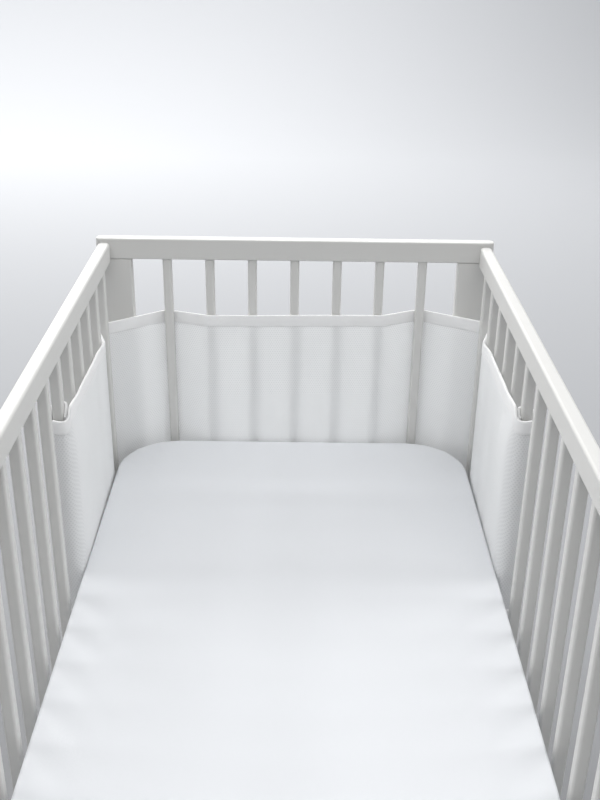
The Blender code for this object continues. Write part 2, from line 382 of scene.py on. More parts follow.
@dataclass(frozen=True)
class SpacerMesh(SheerCloth):
    """Warp-knitted spacer mesh: a honeycomb of round holes over a thin back."""

    passes: float = 0.28
    lit_through: Colour = (0.946, 0.953, 0.956)
    open_share: float = 0.07  # how much of a hole is open
    pitch: float = 0.0040  # from hole to hole, in metres
    hole: float = 0.20  # radius that is all hole, in pitches
    rim: float = 0.38  # radius where the thread is whole, in pitches
    knit: float = 1300.0
    clouds: float = 14.0
    thread: Colour = (0.966, 0.971, 0.974)
    # colour at the holes' middles: painted shade inside the holes
    shade: Colour = (0.908, 0.917, 0.922)

    def hole_distance(self, recipe: Recipe) -> Signal:
        """How far a point of the strip is from the nearest hole's middle.

        Args:
            recipe: The material that it is for.

        Returns:
            The distance in pitches.
        """
        strip = recipe.node("UVMap", {"uv_map": "strip"})
        along = recipe.node("SeparateXYZ", None, {0: strip}, output="X") / self.pitch
        row = math.sqrt(3.0)
        up = recipe.node("SeparateXYZ", None, {0: strip}, output="Y") / (self.pitch * row)
        nearest = []
        for shift in (0.0, 0.5):
            x = (along + shift).fraction() - 0.5
            y = ((up + shift).fraction() - 0.5) * row
            nearest.append((x * x + y * y).root())
        return nearest[0].least(nearest[1])

    def material(self) -> bpy.types.Material:
        """The mesh's finish.

        Returns:
            The material.
        """
        recipe = Recipe("spacer_mesh")
        solid = recipe.soft_step(self.hole_distance(recipe), self.hole, self.rim)
        knit = recipe.noise(recipe.place(), self.knit, detail=1.0)
        cloudy = recipe.noise(recipe.place(), self.clouds)
        inputs = {
            # darker towards each hole's middle: painted shade in the holes, mixed with random cloudy tone
            "Base Color": recipe.blend(solid * 0.85 + cloudy * 0.15, self.shade, self.thread),
            "Roughness": 0.85,
            "Specular IOR Level": 0.25,
            "Normal": recipe.relief(solid * 0.8 + knit * 0.2, depth=0.0004, strength=0.2),
        }
        return recipe.finish(self.shader(recipe, inputs, (1.0 - solid) * self.open_share))


@dataclass(frozen=True)
class EdgeTape(SheerCloth):
    """Woven binding tape with fine slanting ribs, and a painted highlight along its fold."""

    passes: float = 0.02
    lit_through: Colour = (0.954, 0.955, 0.957)
    rib: float = 0.0009
    highlight_starts: float = 0.00352  # distance from the fold where the painted highlight begins
    highlight_whole: float = 0.00132
    clouds: float = 60.0
    thread: Colour = (0.972, 0.973, 0.975)
    shade: Colour = (0.935, 0.936, 0.938)
    # painted highlight: the light that the folded edge catches, painted into its colour
    painted_fold_highlight: Colour = (0.985, 0.985, 0.985)

    def material(self) -> bpy.types.Material:
        """The tape's finish.

        Returns:
            The material.
        """
        recipe = Recipe("edge_tape")
        strip = recipe.node("UVMap", {"uv_map": "strip"})
        along = recipe.node("SeparateXYZ", None, {0: strip}, output="X")
        from_fold = recipe.node("SeparateXYZ", None, {0: strip}, output="Y")
        ribs = ((along + from_fold) * (math.tau / self.rib)).sine() * 0.5 + 0.5
        cloudy = recipe.noise(recipe.place(), self.clouds)
        woven = recipe.blend(ribs * 0.4 + cloudy * 0.6, self.shade, self.thread)
        # painted highlight, strongest at the fold
        folded = recipe.soft_step(from_fold, self.highlight_starts, self.highlight_whole)
        inputs = {
            "Base Color": recipe.blend(folded, woven, self.painted_fold_highlight),
            "Roughness": 0.7,
            "Specular IOR Level": 0.3,
            "Normal": recipe.relief(ribs, depth=0.0002, strength=0.5),
        }
        return recipe.finish(self.shader(recipe, inputs, 0.0))


@dataclass(frozen=True)
class PlainCloth:
    """An opaque woven cloth."""

    name: str
    light: Colour
    dull: Colour
    weave: float  # from thread to thread, in metres
    relief: float
    roughness: float = 0.85
    sheen: float = 0.15
    slubs: float = 260.0
    clouds: float = 5.0

    def material(self) -> bpy.types.Material:
        """The cloth's finish, woven along the row frame's axes.

        Returns:
            The material.
        """
        recipe = Recipe(self.name)
        turn = math.tau / self.weave
        waves = recipe.stretched((turn, turn, turn))
        threads = [recipe.node("SeparateXYZ", None, {0: waves}, output=axis).sine() for axis in "XYZ"]
        weave = threads[0] * threads[1] * 0.25 + threads[2] * 0.1 + 0.5
        slub = recipe.noise(recipe.place(), self.slubs, detail=3.0)
        cloudy = recipe.noise(recipe.place(), self.clouds)
        inputs = {
            "Base Color": recipe.blend(cloudy * 0.6 + slub * 0.4, self.dull, self.light),
            "Roughness": self.roughness,
            "Specular IOR Level": 0.25,
            "Sheen Weight": self.sheen,
            "Normal": recipe.relief(weave * 0.5 + slub * 0.5, self.relief, strength=0.6),
        }
        return recipe.finish(recipe.node("BsdfPrincipled", None, inputs))


@dataclass(frozen=True)
class FloorFinish:
    """The studio's plain pale floor and backdrop."""

    colour: Colour = (0.318, 0.325, 0.339)
    roughness: float = 0.9

    def material(self) -> bpy.types.Material:
        """A matt, even finish.

        Returns:
            The material.
        """
        recipe = Recipe("studio_floor")
        inputs = {"Base Color": (*self.colour, 1.0), "Roughness": self.roughness}
        return recipe.finish(recipe.node("BsdfPrincipled", None, inputs))


def smooth_step(value: Level, start: Level, end: Level) -> Level:
    """A soft step from 0 to 1.

    Args:
        value: Where it is read.
        start: Where it leaves 0.
        end: Where it reaches 1.

    Returns:
        The step at each value.
    """
    share = np.clip((value - start) / (end - start), 0.0, 1.0)
    return share * share * (3.0 - 2.0 * share)


def between(start: Point, end: Point, spans: int) -> list[Point]:
    """The points that divide a straight stretch into equal spans, its two ends left out.

    Args:
        start: Where it starts.
        end: Where it ends.
        spans: How many spans it has.

    Returns:
        The points, in order.
    """
    points = []
    for number in range(1, spans):
        share = number / spans
        points.append((start[0] + share * (end[0] - start[0]), start[1] + share * (end[1] - start[1])))
    return points


def rounded_edge(radius: float, steps: int) -> list[Point]:
    """The profile of an edge that is rounded from a flat foot up to an upright wall.

    Args:
        radius: Its radius.
        steps: Its spans.

    Returns:
        Each point's inset from the wall and its height over the foot, from the foot up.
    """
    angles = np.linspace(0.0, math.pi / 2, steps + 1)
    return [(radius * (1 - math.sin(angle)), radius * (1 - math.cos(angle))) for angle in angles]


def rounded_outline(size: Point, radius: float, steps: int) -> list[Point]:
    """Points round a rectangle about the origin, its corners turned to a radius.

    Args:
        size: The rectangle's sides.
        radius: The corners' radius.
        steps: Spans in each corner.

    Returns:
        The points, in order.
    """
    points = []
    for corner, (side_x, side_y) in enumerate(((1, 1), (-1, 1), (-1, -1), (1, -1))):
        middle_x = side_x * (size[0] / 2 - radius)
        middle_y = side_y * (size[1] / 2 - radius)
        for step in range(steps + 1):
            angle = math.pi / 2 * (corner + step / steps)
            points.append((middle_x + radius * math.cos(angle), middle_y + radius * math.sin(angle)))
    return points


def add_piece(name: str, mesh: bpy.types.Mesh, finish: bpy.types.Material) -> bpy.types.Object:
    """A mesh as a smooth piece of the root body.

    Args:
        name: The piece's name.
        mesh: Its mesh.
        finish: Its material.

    Returns:
        The piece.
    """
    mesh.shade_smooth()
    mesh.materials.append(finish)
    piece = bpy.data.objects.new(name, mesh)
    bpy.context.scene.collection.objects.link(piece)
    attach(piece, ROOT)
    LOG.info("%s: %d faces", name, len(mesh.polygons))
    return piece


def finished_mesh(name: str, bm: bmesh.types.BMesh) -> bpy.types.Mesh:
    """A mesh from its draft, with its faces pointing out.

    Args:
        name: The mesh's name.
        bm: The draft, which is freed.

    Returns:
        The mesh.
    """
    bmesh.ops.recalc_face_normals(bm, faces=bm.faces)
    mesh = bpy.data.meshes.new(name)
    bm.to_mesh(mesh)
    bm.free()
    return mesh


def skinned_mesh(name: str, points: np.ndarray, strip: np.ndarray | None = None) -> bpy.types.Mesh:
    """A closed mesh skinned over rings of points, with a lid on the first ring and the last.

    Args:
        name: The mesh's name.
        points: Rings by points by 3.
        strip: The strip coordinates of the points, rings by points by 2, for the texture.

    Returns:
        The mesh, its faces pointing out.
    """
    bm = bmesh.new()
    rings = [[bm.verts.new(point) for point in ring] for ring in points]
    count = len(rings[0])
    layer = bm.loops.layers.uv.new("strip") if strip is not None else None
    for row in range(len(rings) - 1):
        for here in range(count):
            there = (here + 1) % count
            corners = ((row, here), (row, there), (row + 1, there), (row + 1, here))
            face = bm.faces.new([rings[a][b] for a, b in corners])
            if layer:
                for loop, (a, b) in zip(face.loops, corners):
                    loop[layer].uv = strip[a, b]
    for lid in (rings[0], rings[-1]):
        bm.faces.new(lid)
    return finished_mesh(name, bm)


@dataclass(frozen=True)
class Rounding:
    """How a block is rounded: its upright corners, and the edges of its top and its foot."""

    upright: float
    edge: float
    corner_steps: int = 6
    edge_steps: int = 5
    least: float = 0.0003  # radius of an upright corner where an inset takes up its own

    def mesh(self, name: str, low: Vector, high: Vector) -> bpy.types.Mesh:
        """A rounded block that fills a box.

        Args:
            name: The mesh's name.
            low: The box's lowest corner.
            high: The box's highest corner.

        Returns:
            The mesh.
        """
        size, middle = high - low, (low + high) / 2
        foot = rounded_edge(self.edge, self.edge_steps)
        rings = [(inset, low.z + up) for inset, up in foot]
        rings += [(inset, high.z - up) for inset, up in reversed(foot)]
        points = []
        for inset, z in rings:
            radius = max(self.upright - inset, self.least)
            outline = rounded_outline((size.x - 2 * inset, size.y - 2 * inset), radius, self.corner_steps)
            points.append([(middle.x + x, middle.y + y, z) for x, y in outline])
        return skinned_mesh(name, np.array(points))


@dataclass(frozen=True)
class Bend:
    """A slat corner that the strip turns round, and the top edge's height there on each side of the crib."""

    panel: Panel
    slat: int  # numbered from the head end, or from the side
    outward: int  # 1 for the slat's corner away from the crib's middle, -1 for the one towards it
    headward: int  # 1 for its corner towards the head end, -1 towards the foot end
    gap: float
    way: int  # 1 for a turn to the left
    left: float
    right: float


@dataclass(frozen=True)
class Turn:
    """A turn of the strip seen from above."""

    x: float
    y: float
    radius: float
    way: int
    height: float


@dataclass(frozen=True)
class Route:
    """Stations along the strip seen from above."""

    distance: np.ndarray
    place: np.ndarray
    inward: np.ndarray
    top: np.ndarray

    @property
    def length(self) -> float:
        """The strip's length."""
        return float(self.distance[-1])

    def loosened(self, start: float, end: float, ease: float, push: float, smoothing: float) -> np.ndarray:
        """How far each station moves where the strip is loose, its turns rounder and pushed inward.

        Args:
            start: Where the loose stretch starts along the strip.
            end: Where it ends.
            ease: The length over which it fades in and out.
            push: How far it bellies inward.
            smoothing: How far along the strip its turns are evened out.

        Returns:
            The shift of each station, stations by 2.
        """
        apart = (self.distance[:, None] - self.distance[None, :]) / smoothing
        weight = np.exp(-0.5 * apart**2) * np.gradient(self.distance)[None, :]
        evened = weight @ self.place / weight.sum(axis=1, keepdims=True)
        fade_in = smooth_step(self.distance, start, start + ease)
        fade_out = smooth_step(self.distance, end, end - ease)
        return (fade_in * fade_out)[:, None] * (evened - self.place + push * self.inward)


@dataclass(frozen=True)
class Lacing:
    """The strip's way round the slats, as the CAD source has it."""

    half_width: float = 0.3055  # of the crib, inside
    head_y: float = 0.611  # the head panel's inner face
    side_rail: float = 0.019
    end_rail: float = 0.020
    end_slats: int = 7
    end_pitch: float = 0.0712
    side_slats: int = 17
    side_pitch: float = 0.0695
    wrapped_slat: int = 6
    slat_size: float = 0.015
    slat_rounding: float = 0.003
    half_thick: float = 0.0018  # of the strip at its tapes
    snug: float = 0.0003  # the gap to a slat that it bears on
    clear: float = 0.002
    eased: float = 0.0032
    loose: float = 0.0055  # room for a turned end and its closure
    flap_reach: float = 0.0065  # of a turned end, from the wrapped slat's middle
    flap_left: float = 0.727  # height of its top edge
    flap_right: float = 0.734
    turn_step: float = math.radians(10.0)
    least_swing: float = math.radians(0.25)
    span: float = 0.008

    def bends(self) -> list[Bend]:
        """The corners from a turned end to the middle of the head end.

        Returns:
            The corners, in order.
        """
        side, end = Panel.SIDE, Panel.END
        return [
            Bend(side, 6, -1, 1, self.snug, 1, 0.742, 0.743),
            Bend(side, 6, 1, 1, self.clear, 1, 0.738, 0.740),
            Bend(side, 6, 1, -1, self.clear, 1, 0.724, 0.732),
            Bend(side, 6, -1, -1, self.loose, 1, 0.724, 0.733),
            Bend(side, 6, -1, 1, self.loose, 1, 0.738, 0.746),
            Bend(side, 5, -1, -1, self.loose, 1, 0.732, 0.741),
            Bend(side, 3, -1, -1, self.eased, 1, 0.724, 0.735),
            Bend(side, 2, -1, 1, self.clear, 1, 0.716, 0.724),
            Bend(side, 1, 1, -1, self.snug, -1, 0.716, 0.727),
            Bend(side, 1, 1, 1, self.snug, -1, 0.717, 0.728),
            Bend(end, 1, 1, 1, self.snug, -1, 0.719, 0.725),
            Bend(end, 1, -1, 1, self.snug, -1, 0.718, 0.7245),
            Bend(end, 2, 1, -1, self.clear, 1, 0.718, 0.7215),
        ]

    @property
    def corner_in(self) -> float:
        """How far the middle of a slat's rounded corner is from the slat's middle, each way."""
        return self.slat_size / 2 - self.slat_rounding

    @property
    def side_slat_x(self) -> float:
        """How far a side slat's middle is from the crib's middle."""
        return self.half_width + self.side_rail / 2

    @property
    def inner_layer_x(self) -> float:
        """How far the strip is from the crib's middle beside its own turned end."""
        return self.side_slat_x - self.corner_in - (self.slat_rounding + self.loose + self.half_thick)

    def side_slat_y(self, number: int) -> float:
        """Where a side slat stands along the crib, numbered from the head end."""
        return ((self.side_slats + 1) / 2 - number) * self.side_pitch

    def turn_at(self, bend: Bend, side: Side) -> Turn:
        """The strip's turn at a bend.

        Args:
            bend: The bend.
            side: The side of the crib.

        Returns:
            The turn.
        """
        if bend.panel is Panel.SIDE:
            slat_x, slat_y = side.value * self.side_slat_x, self.side_slat_y(bend.slat)
        else:
            slat_x = side.value * ((self.end_slats + 1) / 2 - bend.slat) * self.end_pitch
            slat_y = self.head_y + self.end_rail / 2
        return Turn(
            slat_x + side.value * bend.outward * self.corner_in,
            slat_y + bend.headward * self.corner_in,
            self.slat_rounding + bend.gap + self.half_thick,
            bend.way,
            bend.left if side is Side.LEFT else bend.right,
        )

    def half(self, side: Side) -> list[Turn]:
        """The turns from one end of the strip to the middle of the head end.

        Args:
            side: The side of the crib.

        Returns:
            The turns, the strip's own end first.
        """
        flap_x = self.side_slat_x - self.slat_size / 2 - self.snug - self.half_thick
        flap_y = self.side_slat_y(self.wrapped_slat) - self.flap_reach
        height = self.flap_left if side is Side.LEFT else self.flap_right
        free_end = Turn(side.value * flap_x, flap_y, 0.0, 1, height)
        return [free_end, *(self.turn_at(bend, side) for bend in self.bends())]

    @staticmethod
    def heading_between(a: Turn, b: Turn) -> float:
        """The heading of the straight stretch from one turn to the next."""
        apart = math.hypot(b.x - a.x, b.y - a.y)
        return math.atan2(b.y - a.y, b.x - a.x) - math.asin((b.way * b.radius - a.way * a.radius) / apart)

    def arc(self, turn: Turn, arriving: float, leaving: float) -> list[float]:
        """The headings through a turn.

        Args:
            turn: The turn.
            arriving: The heading before it.
            leaving: The heading after it.

        Returns:
            The heading at each station of the turn.
        """
        swing = (leaving - arriving + math.pi) % math.tau - math.pi
        if not turn.radius or abs(swing) < self.least_swing:
            return [(arriving + leaving) / 2]
        steps = math.ceil(abs(swing) / self.turn_step)
        return [arriving + swing * step / steps for step in range(steps + 1)]

    def route(self) -> Route:
        """The whole way of the strip, from its left end to its right end.

        Returns:
            The strip's stations.
        """
        turns = self.half(Side.LEFT) + self.half(Side.RIGHT)[::-1]
        headings = [self.heading_between(a, b) for a, b in zip(turns, turns[1:])]
        places: list[Point] = []
        facing: list[float] = []
        anchors: list[tuple[int, int, float]] = []
        for turn, arriving, leaving in zip(turns, headings[:1] + headings, headings + headings[-1:]):
            arc = self.arc(turn, arriving, leaving)
            reach = turn.way * turn.radius
            round_turn = [(turn.x + reach * math.sin(h), turn.y - reach * math.cos(h)) for h in arc]
            if places:
                spans = math.ceil(math.dist(places[-1], round_turn[0]) / self.span)
                straight = between(places[-1], round_turn[0], spans)
                places += straight
                facing += [arc[0]] * len(straight)
            anchors.append((len(places), len(places) + len(arc) - 1, turn.height))
            places += round_turn
            facing += arc
        place = np.array(places)
        distance = np.concatenate([[0.0], np.cumsum(np.hypot(*np.diff(place, axis=0).T))])
        inward = np.stack([np.sin(facing), -np.cos(facing)], axis=1)
        return Route(distance, place, inward, self.heights(distance, anchors))

    @staticmethod
    def heights(distance: np.ndarray, anchors: list[tuple[int, int, float]]) -> np.ndarray:
        """The top edge's height along the strip, eased from each turn to the next.

        Args:
            distance: The stations' distances along the strip.
            anchors: The first and last station of each turn, and the height there.

        Returns:
            The height at each station.
        """
        known = np.array([(distance[first] + distance[last]) / 2 for first, last, _ in anchors])
        height = np.array([level for _, _, level in anchors])
        after = np.clip(np.searchsorted(known, distance), 1, len(known) - 1)
        eased = smooth_step(distance, known[after - 1], known[after])
        return height[after - 1] + (height[after] - height[after - 1]) * eased


@dataclass(frozen=True)
class Slack:
    """A loose stretch of the strip, at the near corner of a wrapped slat."""

    side: Side
    towards_end: float  # how far it reaches from the corner towards the strip's end
    towards_head: float
    push: float  # how far it bellies inward
    smoothing: float  # the length that its turns are evened out over
    past_corner: float = 0.0078
    ease: float = 0.012

    def shift(self, lacing: Lacing, route: Route) -> np.ndarray:
        """How far it moves the strip.

        Args:
            lacing: The strip's way round the slats.
            route: The strip's stations.

        Returns:
            The shift of each station, stations by 2.
        """
        near_y = lacing.side_slat_y(lacing.wrapped_slat) - lacing.corner_in - self.past_corner
        corner = (self.side.value * lacing.inner_layer_x, near_y)
        at = float(route.distance[np.argmin(np.hypot(*(route.place - corner).T))])
        before, after = self.towards_end, self.towards_head
        if self.side is Side.RIGHT:
            before, after = after, before
        return route.loosened(at - before, at + after, self.ease, self.push, self.smoothing)


@dataclass(frozen=True)
class Crease:
    """A soft ridge in cloth, or a trough where its height is negative, by two coordinates along the cloth."""

    along: float  # its middle, by the first coordinate and the second
    depth: float
    width: float
    length: float
    height: float
    lean: float = 0.0

    def rise(self, along: np.ndarray, depth: Level) -> np.ndarray:
        """How far it stands out of the cloth.

        Args:
            along: The first coordinate of each place.
            depth: The second one.

        Returns:
            The rise at each place.
        """
        aside = (along - self.along - self.lean * (depth - self.depth)) / self.width
        down = (depth - self.depth) / self.length
        return self.height * np.exp(-(aside**2) - down**2)


@dataclass
class Bumper:
    """The strip of mesh, its edge tapes with their stitching, and the closures of its turned ends."""

    # The mesh
    height: float = 0.330
    mesh_thick: float = 0.0028
    pinched: float = 0.0012  # the mesh's thickness inside the tapes
    swell: float = 0.005  # how far past a tape the mesh has its own thickness
    swell_rows: int = 5
    row: float = 0.008
    free_from: float = 0.065  # between these two depths it hangs free of its tapes
    free_to: float = 0.222
    held_from: float = 0.262  # the depth from which its bottom tape holds it
    gap: float = 0.0003

    # Its tapes
    tape_width: float = 0.020
    tape_thick: float = 0.0009
    fold_depth: float = 0.55  # of a tape's folded edge, over half its width
    fold_steps: int = 6
    flat_from: float = 0.007
    lip: float = 0.0005  # rounding of a tape's loose edges

    # The seam along each tape, and its stitches
    seam_inset: float = 0.0022
    seam_half: float = 0.0012
    seam_sunk: float = 0.0002
    stitch: float = 0.0027
    stitch_gap: float = 0.0008
    stitch_start: float = 0.002
    stitch_rings: tuple[Point, ...] = ((0.0, 0.25), (0.2, 1.0), (0.8, 1.0), (1.0, 0.25))
    stitch_lift: float = 0.4  # how far its middle lies over the seam, in half its thickness
    stitch_thick: float = 0.0005
    thread_cloth: PlainCloth = PlainCloth(
        "thread",
        light=(0.90, 0.90, 0.89),
        dull=(0.84, 0.84, 0.83),
        weave=0.0004,
        relief=0.0001,
        roughness=0.6,
    )
    hook_cloth: PlainCloth = PlainCloth(
        "hook_tape",
        light=(0.92, 0.92, 0.92),
        dull=(0.80, 0.80, 0.80),
        weave=0.0016,
        relief=0.0006,
        roughness=0.7,
    )

    # Its hook tapes, and where it is loose and creased
    hook_rounding: Rounding = Rounding(upright=0.0003, edge=0.0004, corner_steps=3, edge_steps=3)
    slacks: tuple[Slack, ...] = (
        Slack(Side.LEFT, towards_end=0.016, towards_head=0.085, push=0.0040, smoothing=0.009),
        Slack(Side.RIGHT, towards_end=0.018, towards_head=0.085, push=0.0052, smoothing=0.011),
    )
    creases: tuple[Crease, ...] = (
        Crease(-0.178, 0.12, 0.017, 0.10, 0.0016, 0.04),
        Crease(-0.105, 0.16, 0.026, 0.12, 0.0012),
        Crease(-0.020, 0.10, 0.030, 0.14, 0.0014, -0.04),
        Crease(0.085, 0.15, 0.022, 0.10, 0.0013, 0.03),
        Crease(0.180, 0.11, 0.024, 0.12, 0.0017, -0.05),
    )

    def __post_init__(self) -> None:
        """Works out the way of the strip, and how far its loose stretches shift it."""
        lacing = Lacing()
        self.route = lacing.route()
        self.shift = sum(slack.shift(lacing, self.route) for slack in self.slacks)

    def freedom(self, depth: float) -> float:
        """How free of its tapes the strip is at a depth, from 0 to 1."""
        under_top = smooth_step(depth, self.tape_width, self.free_from)
        return float(min(under_top, smooth_step(depth, self.held_from, self.free_to)))

    def row_points(self, depth: float, across: float) -> np.ndarray:
        """Points along the strip.

        Args:
            depth: How far below the top edge.
            across: How far inward of the strip's middle plane.

        Returns:
            Stations by 3.
        """
        route = self.route
        freedom = self.freedom(depth)
        place = route.place + freedom * self.shift
        along = route.distance - route.length / 2
        rise = sum(crease.rise(along, depth) for crease in self.creases) * freedom
        tangent = np.gradient(place, route.distance, axis=0)
        tangent /= np.linalg.norm(tangent, axis=1, keepdims=True)
        inward = np.stack([tangent[:, 1], -tangent[:, 0]], axis=1)
        place = place + inward * (across + rise)[:, None]
        return np.column_stack([place, route.top - depth])

    def swept(self, name: str, section: list[Point], down: list[float]) -> bpy.types.Mesh:
        """A section swept along the strip.

        Args:
            name: The mesh's name.
            section: The depth of each of its points, and how far across the strip it is.
            down: The strip coordinate of each point down the strip, for the texture.

        Returns:
            The mesh.
        """
        points = np.stack([self.row_points(depth, across) for depth, across in section], axis=1)
        along = np.repeat(self.route.distance[:, None], len(section), axis=1)
        return skinned_mesh(name, points, np.stack([along, np.broadcast_to(down, along.shape)], axis=2))

    def thickness(self, depth: float) -> float:
        """The mesh's thickness at a depth, pinched thin inside the tapes."""
        inside = min(depth, self.height - depth) - self.tape_width
        return self.pinched + (self.mesh_thick - self.pinched) * float(smooth_step(inside, 0.0, self.swell))

    def depths(self) -> list[float]:
        """The rows of the mesh, closer together beside the tapes.

        Returns:
            How far each row is below the top edge.
        """
        edge = [self.tape_thick + 2 * self.gap, self.tape_width / 2, self.tape_width]
        swell_row = self.swell / self.swell_rows
        edge += [self.tape_width + swell_row * number for number in range(1, self.swell_rows + 1)]
        between_edges = self.height - 2 * edge[-1]
        count = math.ceil(between_edges / self.row)
        inner = [edge[-1] + between_edges * number / count for number in range(1, count)]
        return edge + inner + [self.height - depth for depth in reversed(edge)]

    def panel(self, finish: bpy.types.Material) -> bpy.types.Object:
        """The mesh itself, a thin closed sheet.

        Args:
            finish: Its material.

        Returns:
            The piece.
        """
        section = [(depth, self.thickness(depth) / 2) for depth in self.depths()]
        section += [(depth, -across) for depth, across in reversed(section)]
        mesh = self.swept("bumper_panel", section, [-depth for depth, _ in section])
        piece = add_piece("bumper_panel", mesh, finish)
        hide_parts("bumper_mesh")
        return piece

    def tape_section(self) -> list[Point]:
        """The folded tape's section.

        Returns:
            How far across the strip each point is, and how far in from the strip's edge.
        """
        slot = self.pinched / 2 + self.gap
        half = slot + self.tape_thick
        seam = self.tape_width - self.seam_inset
        angles = np.linspace(0, math.pi / 2, self.fold_steps + 1)
        crown = [(half * math.sin(a), half * self.fold_depth * (1 - math.cos(a))) for a in angles]
        one_side = [
            *crown[1:],
            (half, self.flat_from),
            (half, seam - self.seam_half),
            (half - self.seam_sunk, seam),
            (half, seam + self.seam_half),
            (half - self.lip * 0.2, self.tape_width - self.lip * 0.6),
            (half - self.lip, self.tape_width),
            (slot, self.tape_width),
            (slot, self.tape_thick + self.gap),
        ]
        return [crown[0], *one_side, *((-across, into) for across, into in reversed(one_side))]

    def tape(self, edge: Edge, finish: bpy.types.Material) -> bpy.types.Object:
        """A tape folded over one edge of the strip.

        Args:
            edge: The edge.
            finish: Its material.

        Returns:
            The piece.
        """
        word = edge.name.lower()
        start = 0.0 if edge is Edge.TOP else self.height
        section = [(start + edge.value * into, across) for across, into in self.tape_section()]
        from_fold = [abs(depth - start) + abs(across) for depth, across in section]
        piece = add_piece(f"{word}_binding", self.swept(f"{word}_tape", section, from_fold), finish)
        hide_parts(f"{word}_tape")
        return piece

    def add_stitch(self, bm: bmesh.types.BMesh, start: float, seam: np.ndarray, out: np.ndarray) -> None:
        """Adds one stitch, a four-sided thread with narrow ends, partly sunk in the tape.

        Args:
            bm: The mesh that it goes into.
            start: Where it starts along the strip.
            seam: The seam's points, stations by 3.
            out: How far the thread stands out of the tape, stations by 3.
        """
        rings = []
        for share, swell in self.stitch_rings:
            stop = start + self.stitch * share
            middle = Vector([np.interp(stop, self.route.distance, seam[:, axis]) for axis in range(3)])
            rise = Vector([np.interp(stop, self.route.distance, out[:, axis]) for axis in range(3)])
            rise *= swell / 2
            up = Vector((0.0, 0.0, self.stitch_thick / 2 * swell))
            sunk, lifted = rise * (1 - self.stitch_lift), rise * (1 + self.stitch_lift)
            corners = (middle - sunk, middle + up, middle + lifted, middle - up)
            rings.append([bm.verts.new(corner) for corner in corners])
        for lower, upper in zip(rings, rings[1:]):
            for here in range(4):
                there = (here + 1) % 4
                bm.faces.new((lower[here], lower[there], upper[there], upper[here]))
        bm.faces.new(rings[0])
        bm.faces.new(rings[-1])

    def stitching(self, edge: Edge, finish: bpy.types.Material) -> bpy.types.Object:
        """A row of stitches along each face of a tape.

        Args:
            edge: The strip's edge that the tape is on.
            finish: The thread's material.

        Returns:
            The piece.
        """
        into = self.tape_width - self.seam_inset
        depth = into if edge is Edge.TOP else self.height - into
        surface = self.pinched / 2 + self.gap + self.tape_thick - self.seam_sunk
        last = self.route.length - 2 * self.stitch_start
        starts = np.arange(self.stitch_start, last, self.stitch + self.stitch_gap)
        bm = bmesh.new()
        for face in (1.0, -1.0):
            seam = self.row_points(depth, face * surface)
            out = self.row_points(depth, face * (surface + self.stitch_thick)) - seam
            for start in starts:
                self.add_stitch(bm, start, seam, out)
        name = f"{edge.name.lower()}_stitching"
        piece = add_piece(name, finished_mesh(name, bm), finish)
        return piece

    def closure(self, side: Side, finish: bpy.types.Material) -> bpy.types.Object:
        """The hook tape that holds a turned end.

        Args:
            side: The side of the crib.
            finish: Its material.

        Returns:
            The piece.
        """
        word = side.name.lower()
        name, node = f"hook_tape_{word}", f"closure_{word}"
        piece = add_piece(name, self.hook_rounding.mesh(name, *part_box(node)), finish)
        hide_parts(node)
        return piece

    def build(self) -> None:
        """Builds every piece of the bumper."""
        tape = EdgeTape().material()
        thread = self.thread_cloth.material()
        hooks = self.hook_cloth.material()
        panel = self.panel(SpacerMesh().material())
        going = [self.tape(edge, tape) for edge in Edge]
        going += [self.stitching(edge, thread) for edge in Edge]
        going += [self.closure(side, hooks) for side in Side]
        rests_on = [f"side_slat_{side}_{number}" for side in ("left", "right") for number in ("01", "06")]
        rests_on += ["head_slat_1", "head_slat_7"]
        LOG.info("strip %.3f m long", self.route.length)


